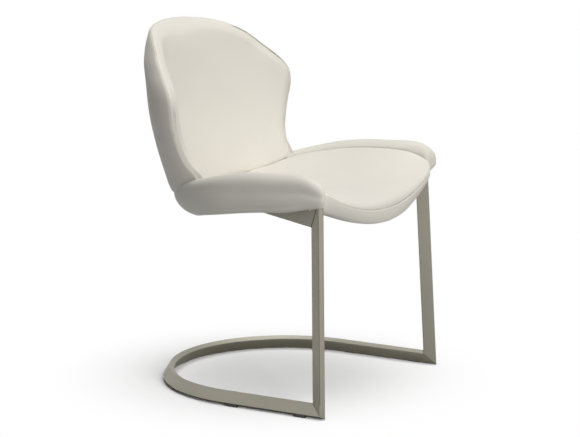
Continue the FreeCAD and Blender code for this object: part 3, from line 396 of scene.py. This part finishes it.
# Stations of the pan along its middle line: depth, middle height, height where it meets the wings, half
# width, and the underside in the middle and at the sides
PAN = (
    (-16, 433.0, 499.0, 249.0, 426.0, 490.0),
    (-15.6, 437.2, 500.0, 249.1, 426.5, 490.0),
    (-14.6, 441.5, 500.7, 249.2, 427.0, 490.0),
    (-12.5, 446.3, 501.5, 249.3, 427.5, 490.0),
    (-9, 450.6, 502.4, 249.5, 428.0, 490.0),
    (-3, 454.6, 503.8, 249.8, 429.5, 490.0),
    (9, 458.6, 506.5, 250.0, 431.0, 490.0),
    (35, 462.4, 513.5, 248.0, 437.0, 495.0),
    (64, 465.0, 521.5, 241.0, 440.5, 496.5),
    (111, 467.0, 525.0, 235.0, 440.5, 499.5),
    (179, 468.0, 522.0, 232.0, 440.5, 496.5),
    (259, 465.0, 512.0, 225.6, 440.5, 486.5),
    (331, 461.0, 497.0, 204.0, 440.5, 471.5),
    (374, 458.0, 480.5, 178.0, 440.5, 451.8),
    (399, 456.5, 467.5, 156.0, 440.5, 442.2),
    (428, 455.5, 462.0, 150.0, 440.5, 441.0),
)
depths, middles, edges, halves, undersides, side_undersides = zip(*PAN)
pan_middle = curve_through(depths, middles)
pan_edge = curve_through(depths, edges)
pan_half = curve_through(depths, halves)
pan_under = curve_through(depths, undersides)
pan_side_under = curve_through(depths, side_undersides)

SIDE_SHARES = (0.0, 0.12, 0.24, 0.36, 0.47, 0.57, 0.66, 0.74, 0.81, 0.87, 0.92, 0.955, 0.98, 0.993, 1.0)
ACROSS = [-share for share in SIDE_SHARES[:0:-1]] + list(SIDE_SHARES)
PAN_DEPTHS = (-16, -15.9, -15.6, -14.6, -12.5, -9, -3.5, 3, 11, 21, 32, 46, 64, 86, 111, 140, 170, 200, 230,
              260, 288, 312, 331, 347, 361, 374, 387, 399, 413, 428)
# The front rows follow the lip's curve, less and less over this length, and turn in at the seams
LIP_DEPTH, FOLLOW_LENGTH = -16, 75
EDGE_TUCK, TUCK_FROM, TUCK_SHARE = 3.0, 0.975, 0.025
LIP_TUCKS = {-16: 2.6, -15.9: 0.3}
FLAT_SHARE, LEAST_FOAM = 0.4, 8
lip_middle = pan_middle(LIP_DEPTH)
lip_rise = pan_edge(LIP_DEPTH) - lip_middle
top_rows, low_rows = [], []
for depth in PAN_DEPTHS:
    follow = max(0.0, 1 - (depth - LIP_DEPTH) / FOLLOW_LENGTH) ** 1.5
    half, lip_tuck = pan_half(depth), LIP_TUCKS.get(depth, 0.0)
    top_row, low_row = [], []
    for share in ACROSS:
        x = share * half
        y = depth + follow * (lip_back(abs(x)) - LIP_DEPTH)
        bowl = pan_middle(depth) + (pan_edge(depth) - pan_middle(depth)) * share ** 2
        z = bowl + follow * (lip_up(abs(x)) - lip_middle - lip_rise * share ** 2)
        tuck = EDGE_TUCK * max(0.0, (abs(share) - TUCK_FROM) / TUCK_SHARE) ** 2
        top_row.append((x, y + lip_tuck * 1.2, z - tuck - lip_tuck * 0.4))
        rise = max(0.0, abs(share) - FLAT_SHARE) / 0.6
        under = pan_under(depth) + (pan_side_under(depth) - pan_under(depth)) * rise
        low_row.append((x * 0.985, y + 2.5 * follow, min(under, z - LEAST_FOAM)))
    top_rows.append(top_row)
    low_rows.append(low_row)
pan_cushion = stuffed("seat_pan_padding", top_rows, low_rows, ivory_leather, ["seat_pan_cushion"])


# Front apron: a separate strip of leather over a thin foam roll, sewn to the pan along the lip. It hangs
# lowest in the middle, tucks under the board's front edge and ends at the legs.
panel_leather = leather("ivory_leather_panels", '#E5E1D7', '#E0DCD2')

apron_low = curve_through((0, 60, 100, 140, 175, 205, 230, 253),
                          (400, 403.5, 409.8, 419.5, 430.5, 441, 450, 459))
apron_tuck = curve_through((0, 60, 120, 180, 215, 240, 253), (0, 2.5, 8, 14, 15, 12, 9))
# The face's section from the lip: how far back, and how far down in a drop that is stretched to each height
APRON_DROP = 33
APRON_FACE = ((2.6, 0.3), (0.2, 0.6), (-0.8, 1.9), (-1.5, 4.2), (-2.0, 8), (-2.3, 12), (-2.4, 16), (-2.3, 20),
              (-1.8, 24), (-0.8, 28), (1.8, 31), (6.5, 32.8), (13.5, 33), (20, 33), (26.5, 32.6))
face_lengths = [0.0]
for a, b in zip(APRON_FACE, APRON_FACE[1:]):
    face_lengths.append(face_lengths[-1] + math.dist(a, b))
face_back, face_down = [curve_through(face_lengths, [point[axis] for point in APRON_FACE]) for axis in (0, 1)]


def second_row(x):
    """Length down the section from the lip to the row of topstitches, which runs lower at the legs."""
    height = lip_up(abs(x)) - apron_low(abs(x))
    return 3.2 + (4.8 + 5.0 * (abs(x) / 245) ** 3) * APRON_DROP / height


def apron_point(x, reach, dent=0.0):
    """A point of the apron's face, a length down its section from the lip, pressed in by a dent."""
    top, back, down = lip_up(abs(x)), face_back(reach) + dent, face_down(reach)
    depth = lip_back(abs(x)) + apron_tuck(abs(x)) * max(0.0, down / APRON_DROP) ** 1.8
    return x, depth + back, top - down * (top - apron_low(abs(x))) / APRON_DROP


APRON_X = (28, 56, 84, 112, 138, 160, 180, 196, 210, 222, 232, 240, 246, 250, 253)
DENT, DENT_REACH, LOWER_RINGS = 0.8, 1.4, 12
outer_rows, inner_rows = [], []
for x in [-x for x in APRON_X[::-1]] + [0] + list(APRON_X):
    top, stitch = lip_up(abs(x)), second_row(x)
    height, below = top - apron_low(abs(x)), face_lengths[-1] - stitch - DENT_REACH
    rings = [(0, 0), (face_lengths[1], 0), (face_lengths[1] + 1.2, 0), (stitch - DENT_REACH, 0),
             (stitch, DENT), (stitch + DENT_REACH, 0)]
    rings += [(stitch + DENT_REACH + below * k / LOWER_RINGS, 0) for k in range(1, LOWER_RINGS + 1)]
    outer, inner = [], []
    for reach, dent in rings:
        outer.append(apron_point(x, reach, dent))
        behind_face = max(face_back(reach) + 8, 9.5) - face_back(reach)
        dropped = top - outer[-1][2]
        inner.append((x, outer[-1][1] + behind_face, top - 4 - dropped * (1 - 11 / height)))
    outer_rows.append(outer)
    inner_rows.append(inner)
apron = stuffed("seat_front_apron_roll", outer_rows, inner_rows, panel_leather, ["seat_front_apron"])


# Side band: one long roll of foam under leather, from the left leg round the rear of the seat to the right
# leg. It swells into a wing beside the pan and stands on a narrow turned-in hem along its lower edge.
# Stations: run along the outer line, then across from the frame line and up from 468 mm for the inner
# seam, crest, shoulder, belly and low edge. From TURN_AT on, the run goes round a half circle and is
# measured at TURN_RADIUS from its centre.
BAND_START, TURN_AT, TURN_RADIUS, FRAME_LINE, SEAT_UP = -2, 245, 268, 276, 468
BAND = (
    (-2, (-25.2, 28), (-16, 43), (-2, 28), (-3, 13), (-17, 5)),
    (9, (-25.2, 34), (-15, 54), (1, 31), (1, 13), (-16, 2)),
    (35, (-27.2, 45), (-14, 67), (3, 35), (3, 12), (-14, -1)),
    (64, (-34.0, 54), (-14, 73), (4, 37), (4, 10), (-14, -5)),
    (110, (-40.2, 57), (-17, 72), (3, 33), (2, 1), (-19, -16)),
    (179, (-43.2, 54), (-21, 69), (-1, 28), (-5, -8), (-28, -24)),
    (245, (-48.6, 45), (-28, 61), (-6.5, 20), (-12, -15), (-37.5, -33.5)),
    (376, (-48, 20), (-32, 31), (-10.6, 8), (-18.5, -29), (-46, -54)),
    (441.5, (-44, 0), (-23, 13), (-8, -4), (-17.5, -41.5), (-48, -65)),
    (507, (-38, -22), (-18, -14), (-6, -20), (-17, -49.5), (-51, -70)),
    (666, (-32, -28), (-16, -22), (-7, -28), (-19, -58), (-48, -77)),
)
runs = [row[0] for row in BAND]
band_lines = [[curve_through(runs, [row[k][axis] for row in BAND]) for axis in (0, 1)] for k in range(1, 6)]
hem_depth = curve_through((-2, 25, 70, 130, 250, 330, 420, 500, 666), (0, 1, 5, 6, 6, 5, 2.5, 1, 0.5))
plan_end = curve_through((0, 4, 14, 24, 32, 46), (3.5, 5, 10.5, 19, 29, 45))


def arc_between(first, middle, last, count):
    """Points on the circle through three section points, without the last one."""
    ax, ay, bx, by, cx, cy = *first, *middle, *last
    a_squared, b_squared, c_squared = ax * ax + ay * ay, bx * bx + by * by, cx * cx + cy * cy
    scale = 2 * (ax * (by - cy) + bx * (cy - ay) + cx * (ay - by))
    centre_x = (a_squared * (by - cy) + b_squared * (cy - ay) + c_squared * (ay - by)) / scale
    centre_y = (a_squared * (cx - bx) + b_squared * (ax - cx) + c_squared * (bx - ax)) / scale
    radius = math.hypot(ax - centre_x, ay - centre_y)
    start, through, end = [math.atan2(y - centre_y, x - centre_x) for x, y in (first, middle, last)]
    sweep = (end - start) % math.tau
    if (through - start) % math.tau > sweep:
        sweep -= math.tau
    angles = [start + sweep * i / count for i in range(count)]
    return [(centre_x + radius * math.cos(angle), centre_y + radius * math.sin(angle)) for angle in angles]


HEM_HEIGHT, SMOOTHINGS = 13, 2


def band_profile(run):
    """Outer side of the band's section from the inner seam over the crest down to the low edge."""
    seam, crest, shoulder, belly, low = [(line[0](run), line[1](run)) for line in band_lines]
    points = arc_between(seam, crest, shoulder, 12) + arc_between(shoulder, belly, low, 14) + [low]
    for _ in range(SMOOTHINGS):
        points = [points[0]] + [((a[0] + 2 * b[0] + c[0]) / 4, (a[1] + 2 * b[1] + c[1]) / 4)
                                for a, b, c in zip(points, points[1:], points[2:])] + [points[-1]]
    hem = hem_depth(run)
    shaped = []
    for across, up in points:
        over = (up - low[1]) / HEM_HEIGHT
        groove = math.exp(-((over - 1) / 0.35) ** 2) * hem * 0.45
        flare = hem * 0.35 * max(0.0, 1 - abs(over - 0.45) / 0.5)
        shaped.append((across - groove + flare, up))
    seam_tuck = [(shaped[0][0] + 1.0, shaped[0][1] - 4.0)]
    hem_turn = [(low[0] - 3.5, low[1] - 1.6), (low[0] - 8.0, low[1] + 0.6)]
    return seam_tuck + shaped + hem_turn


def band_point(run, across, up):
    """A point of the left half of the band."""
    if run <= TURN_AT:
        return -(FRAME_LINE + across), run, SEAT_UP + up
    angle = (run - TURN_AT) / TURN_RADIUS
    out = FRAME_LINE + across
    return -math.cos(angle) * out, TURN_AT + math.sin(angle) * out, SEAT_UP + up


# Runs of the sections; the first ones are drawn in, which rounds the wing's end. Up to END_REACH the end is
# moved back: by plan_end above WING_FROM, where the wing starts, and by LOW_STOP below it.
ROUNDED_RUNS = [(BAND_START, 6.5), (-1.4, 3.8), (0.2, 1.7), (3, 0.5)]
BAND_RUNS = (7, 12, 18, 25, 34, 46, 60, 76, 94, 114, 136, 158, 180, 202, 224, 245, 266, 288, 310, 332, 354,
             376, 398, 420, 442, 464, 486, 508, 532, 558, 584, 610, 638, 666)
END_REACH, WING_FROM, WING_BLEND, LOW_STOP = 60, 470, 18, 14.5
left_outer, left_inner = [], []
for run, inset in ROUNDED_RUNS + [(run, 0) for run in BAND_RUNS]:
    profile = band_profile(run)
    middle = [sum(pair[axis] for pair in profile) / len(profile) for axis in (0, 1)]
    if inset:
        drawn = []
        for across, up in profile:
            length = math.dist((across, up), middle)
            keep = max(0.0, length - inset) / length
            drawn.append((middle[0] + (across - middle[0]) * keep, middle[1] + (up - middle[1]) * keep))
        profile = drawn
    start, end = profile[0], profile[-1]
    back = []
    for i in range(len(profile)):
        t = i / (len(profile) - 1)
        back.append((start[0] + (end[0] - start[0]) * t + 2.0 * math.sin(math.pi * t),
                     start[1] - 2 + (end[1] + 3 - start[1]) * t))
    outer = [band_point(run, *pair) for pair in profile]
    inner = [band_point(run, *pair) for pair in back]
    if run < END_REACH:
        fade = ((END_REACH - run) / (END_REACH - BAND_START)) ** 2
        moved = []
        for row in (outer, inner):
            new_row = []
            for x, y, z in row:
                wing = min(1.0, max(0.0, (z - WING_FROM) / WING_BLEND))
                stop = plan_end(min(46, max(0, FRAME_LINE + x))) * wing + LOW_STOP * (1 - wing)
                new_row.append((x, y + (stop - BAND_START) * fade, z))
            moved.append(new_row)
        outer, inner = moved
    left_outer.append(outer)
    left_inner.append(inner)
right_outer = [[(-x, y, z) for x, y, z in row] for row in left_outer[-2::-1]]
right_inner = [[(-x, y, z) for x, y, z in row] for row in left_inner[-2::-1]]
band = stuffed("seat_side_band_roll", left_outer + right_outer, left_inner + right_inner, panel_leather,
               ["seat_side_band"])


# Back: a moulded plywood shell with padding on both sides. The front pad is one leather panel that rolls
# over the rim, the rear pad another; they meet in a seam round the outline. Seen from above each height is
# an arch. Stations: height, half width, depth of the crown and of the arms' ends, padding at the crown, and
# how square the front face turns into the arms.
BACK = (
    (424.6, 209.0, 483.0, 344.3, 88.0, 3.5),
    (464.7, 212.0, 514.5, 360.9, 85.0, 3.3),
    (504.9, 218.0, 539.5, 372.2, 81.0, 2.8),
    (545.1, 233.5, 552.0, 388.0, 74.5, 2.5),
    (585.3, 249.0, 560.5, 393.8, 66.5, 2.4),
    (625.5, 263.0, 564.0, 394.9, 58.5, 2.35),
    (665.7, 272.5, 565.8, 394.3, 52.3, 2.35),
    (705.8, 265.5, 568.0, 407.7, 48.0, 2.4),
    (746.0, 236.0, 570.0, 445.6, 44.5, 2.5),
    (772.1, 211.0, 571.5, 468.9, 41.5, 2.6),
    (793.8, 183.0, 573.5, 494.2, 37.0, 2.6),
    (810.1, 147.0, 575.5, 522.7, 30.0, 2.6),
    (821.0, 94.0, 577.0, 550.7, 18.5, 2.6),
    (829.0, 20.0, 578.0, 563.0, 8.0, 2.6),
)
back_heights = [row[0] for row in BACK]
back_half, back_crown, back_spring, back_padding, back_square = [
    curve_through(back_heights, [row[k] for row in BACK]) for k in range(1, 6)]
CORNER_SHARE, ROLL, FLAT_RIM = 0.68, 36.0, 28


def rear_face(x, z):
    """Depth of the outside of the back at a place seen from behind."""
    half, crown, spring = back_half(z), back_crown(z), back_spring(z)
    depth, corner = crown - spring, CORNER_SHARE * (crown - spring)
    flat = half - corner
    middle = (flat ** 2 + depth ** 2 - corner ** 2) / (2 * (depth - corner))
    if abs(x) <= middle * flat / (middle - corner):
        return crown - middle + math.sqrt(middle ** 2 - x ** 2)
    return spring + math.sqrt(max(0.0, corner ** 2 - (abs(x) - flat) ** 2))


def front_face(x, z):
    """Depth of the padded front of the back at a place seen from the front, without its rolled rim."""
    reach = max(back_half(z) - FLAT_RIM, 0.4 * back_half(z))
    low, high = back_crown(z) - back_padding(z), back_spring(z) - 1
    return low - (low - high) * min(1.0, abs(x) / reach) ** back_square(z)


# The seam between the pads, on one half from its lower end to the top: across, depth, height
SEAM = (
    (213, 366, 480), (214, 369, 490), (216, 374, 500), (224, 386, 522), (236.5, 397, 554),
    (249.5, 401.5, 586), (260.5, 403, 618), (269, 402, 650), (272.6, 401.5, 668), (272.4, 404, 688),
    (263, 418, 711), (245, 439, 734), (227, 461, 756), (205, 479, 778), (183, 499, 794), (156, 521, 807.5),
    (122, 545, 817.5), (84, 560, 823.5), (42, 568, 827.4), (0, 570.5, 828.6),
)
seam_lengths = [0.0]
for a, b in zip(SEAM, SEAM[1:]):
    seam_lengths.append(seam_lengths[-1] + math.dist(a, b))
seam_lines = [curve_through(seam_lengths, [point[axis] for point in SEAM]) for axis in range(3)]
SEAM_STEPS, SEAM_FOOT = 64, 480
ROLL_STEPS = (0.035, 0.055, 0.08, 0.10, 0.12, 0.16, 0.22, 0.30, 0.39, 0.49, 0.60, 0.72, 0.86, 1.0)
INWARD_STEPS = (0.05, 0.12, 0.20, 0.29, 0.39, 0.50, 0.62, 0.75, 0.88, 1.0)


def bezier(a, b, c, d, t):
    """A point of a cubic curve in the plane."""
    u = 1 - t
    return tuple(u ** 3 * p + 3 * u * u * t * q + 3 * u * t * t * r + t ** 3 * s
                 for p, q, r, s in zip(a, b, c, d))


# Above TOP_FROM the back narrows to its top. Above AIM_FROM the rows run down towards the middle line. The
# topstitches lie on this point of a front row.
TOP_FROM, TOP_HEIGHT, AIM_FROM, AIM_SLOPE, STITCH_POINT = 690, 139, 600, 0.57, 5


def pad_row(step, face, forward):
    """A row of the outer face of a pad, from the seam round the roll to the middle line: (x, y, z)."""
    share = step / SEAM_STEPS
    x, y, z = [line(share * seam_lengths[-1]) for line in seam_lines]
    top = min(1.0, max(0.0, (z - TOP_FROM) / TOP_HEIGHT))
    aim_z = z if z < AIM_FROM else AIM_FROM + (z - AIM_FROM) * AIM_SLOPE
    way = Vector((-x, aim_z - z))
    run = way.length
    way.normalize()

    def over(distance):
        return x + way.x * distance, z + way.y * distance

    near, far = over(ROLL - 2), over(ROLL + 2)
    slope = (face(*far) - face(*near)) / 4
    joint = (ROLL, face(*over(ROLL)))
    pull = (9 - 2 * top, 15 - 2 * top) if forward < 0 else (28 - 22 * top, 30 - 16 * top)
    tangent = Vector((1, slope)).normalized()
    lean = 0.9 * (1 - top) if forward < 0 else 0
    controls = ((0, y), (lean * pull[0], y + forward * pull[0]),
                (joint[0] - tangent.x * pull[1], joint[1] - tangent.y * pull[1]), joint)
    row = [(2.6, y + forward * 0.3), (0.9, y + forward * 0.7)] + [bezier(*controls, t) for t in ROLL_STEPS]
    if forward < 0:
        inward, depth = row[STITCH_POINT]
        row[STITCH_POINT] = (inward + 0.3, depth + 0.5)
    placed = []
    for inward, depth in row:
        place = over(inward)
        placed.append((place[0], depth, place[1]))
    for t in INWARD_STEPS:
        place = over(ROLL + (run - ROLL) * t)
        placed.append((place[0], face(*place), place[1]))
    placed[-1] = (0.0, placed[-1][1], placed[-1][2])
    return placed


# How deep a pad's hidden face lies in the back, so that the board has room between the two
LEAST_ROOM, BEHIND_FRONT, FRONT_SHARE, REAR_DEPTH, REAR_SHARE = 4.0, 27.5, 0.45, 17.5, 0.42


def behind(point, forward):
    """The hidden face's point below a point of a pad's outer face."""
    x, y, z = point
    room = max(LEAST_ROOM, rear_face(min(x, back_half(z) - 1), z) - front_face(x, z))
    if forward < 0:
        depth = max(FRONT_SHARE * room, room - BEHIND_FRONT)
    else:
        depth = min(REAR_DEPTH, REAR_SHARE * room)
    return x * 0.97, y - forward * depth, z - (3 if z > 800 else 0)


crease = curve_through((0, 60, 121, 160, 190, 214, 240), (456, 457, 461.5, 472, 487, 499, 508))
rear_seam = curve_through((230, 330, 357, 377, 400, 468, 545), (506, 501, 498.5, 496, 483, 452, 443))
FOOT_REACH = 600


def two_halves(name, face, forward, foot, material, node):
    """A pad of the back: one half from rows along the seam, its hidden face, and the mirrored half."""
    outer = []
    for step in range(SEAM_STEPS + 1):
        row = pad_row(step, face, forward)
        if row[0][2] < FOOT_REACH:
            share = (FOOT_REACH - row[0][2]) / (FOOT_REACH - SEAM_FOOT)
            row = [(x, y, z + (foot(x, y) - SEAM_FOOT) * max(0.0, share) ** 1.5) for x, y, z in row]
            if step == 0:
                row = [(x * 0.985, y - forward * 3.0, z - 1.5) for x, y, z in row]
        outer.append(row)
    inner = [[behind(point, forward) for point in row] for row in outer]
    for row in inner:
        row[-1] = (0.0,) + row[-1][1:]
    form = bmesh.new()
    for side in (-1, 1):
        faces = []
        for rows in (outer, inner):
            faces.append([[form.verts.new(spot(side * x, y, z)) for x, y, z in row] for row in rows])
        for grid in faces:
            for a, b in zip(grid, grid[1:]):
                for i in range(len(a) - 1):
                    form.faces.new((a[i], a[i + 1], b[i + 1], b[i]))
        shown, hidden = faces
        for k in range(len(shown) - 1):
            form.faces.new((shown[k][0], shown[k + 1][0], hidden[k + 1][0], hidden[k][0]))
        for i in range(len(shown[0]) - 1):
            form.faces.new((shown[0][i], shown[0][i + 1], hidden[0][i + 1], hidden[0][i]))
    return cushion(name, form, material, [node])


front_pad = two_halves("back_front_padding", front_face, -1, lambda x, y: crease(min(240, abs(x))) - 11,
                       ivory_leather, "back_front_pad")
rear_pad = two_halves("back_rear_padding", rear_face, 1, lambda x, y: rear_seam(y) - 7,
                      panel_leather, "back_rear_pad")


# Topstitches: a row below the lip seam on the apron and a row beside the seam on the rim of the back. Bonded
# polyester thread in the leather's tone, 4.2 mm a stitch; 0.9 mm thick, coarser than real so that it shows.
thread, tree, place = new_material("bonded_polyester_thread")
twist = noise(tree, place['Object'], 1800, 1)
surface(tree, {'Base Color': blend(tree, twist, linear('#DAD6CB'), linear('#CFCBC0')), 'Roughness': 0.55,
               'Sheen Weight': 0.15, 'Normal': bump(tree, twist, 0.3, 0.0002)})

# A stitch: rings along it, each with its place from the middle, its height over the leather and its radius
PITCH, SIDES = 0.0042, 6
BEAD = ((-1.6, -0.3, 0), (-1.2, 0.0, 0.36), (0, 0.2, 0.45), (1.2, 0.0, 0.36), (1.6, -0.3, 0))
TURNS = [math.tau * k / SIDES for k in range(SIDES)]


def sew(name, piece, path):
    """A row of stitches laid on a piece along a path of points: small curved beads sunk at both ends."""
    lengths = [0.0]
    for a, b in zip(path, path[1:]):
        lengths.append(lengths[-1] + (b - a).length)
    lines = [curve_through(lengths, [point[axis] for point in path]) for axis in range(3)]
    form = bmesh.new()
    for number in range(int(lengths[-1] / PITCH)):
        middle = (number + 0.5) * PITCH
        rings = []
        for along, lift, radius in BEAD:
            place, ahead = [Vector([line(middle + at / 1000) for line in lines])
                            for at in (along, along + 0.4)]
            _, foot, normal, _ = piece.closest_point_on_mesh(place)
            run = (ahead - place).normalized()
            across = normal.cross(run).normalized()
            centre = foot + normal * (lift / 1000)
            if radius:
                spokes = [across * math.cos(turn) + normal * math.sin(turn) for turn in TURNS]
                rings.append([form.verts.new(centre + spoke * radius / 1000) for spoke in spokes])
            else:
                rings.append([form.verts.new(centre)])
        for a, b in zip(rings, rings[1:]):
            for k in range(SIDES):
                corners = [a[k % len(a)], a[(k + 1) % len(a)], b[(k + 1) % len(b)], b[k % len(b)]]
                form.faces.new([corner for i, corner in enumerate(corners) if corner not in corners[:i]])
    bmesh.ops.recalc_face_normals(form, faces=form.faces)
    mesh = bpy.data.meshes.new(name)
    form.to_mesh(mesh)
    form.free()
    row = bpy.data.objects.new(name, mesh)
    bpy.context.collection.objects.link(row)
    mesh.materials.append(thread)
    mesh.shade_smooth()
    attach(row, "root")
    return row


sew("lip_topstitches", apron, [spot(*apron_point(x, second_row(x))) for x in range(-244, 245, 8)])
rim_row = [pad_row(step, front_face, -1)[STITCH_POINT] for step in range(3, SEAM_STEPS + 1)]
sew("rim_topstitches", front_pad, [spot(-x, y, z) for x, y, z in rim_row] +
    [spot(x, y, z) for x, y, z in rim_row[-2::-1]])
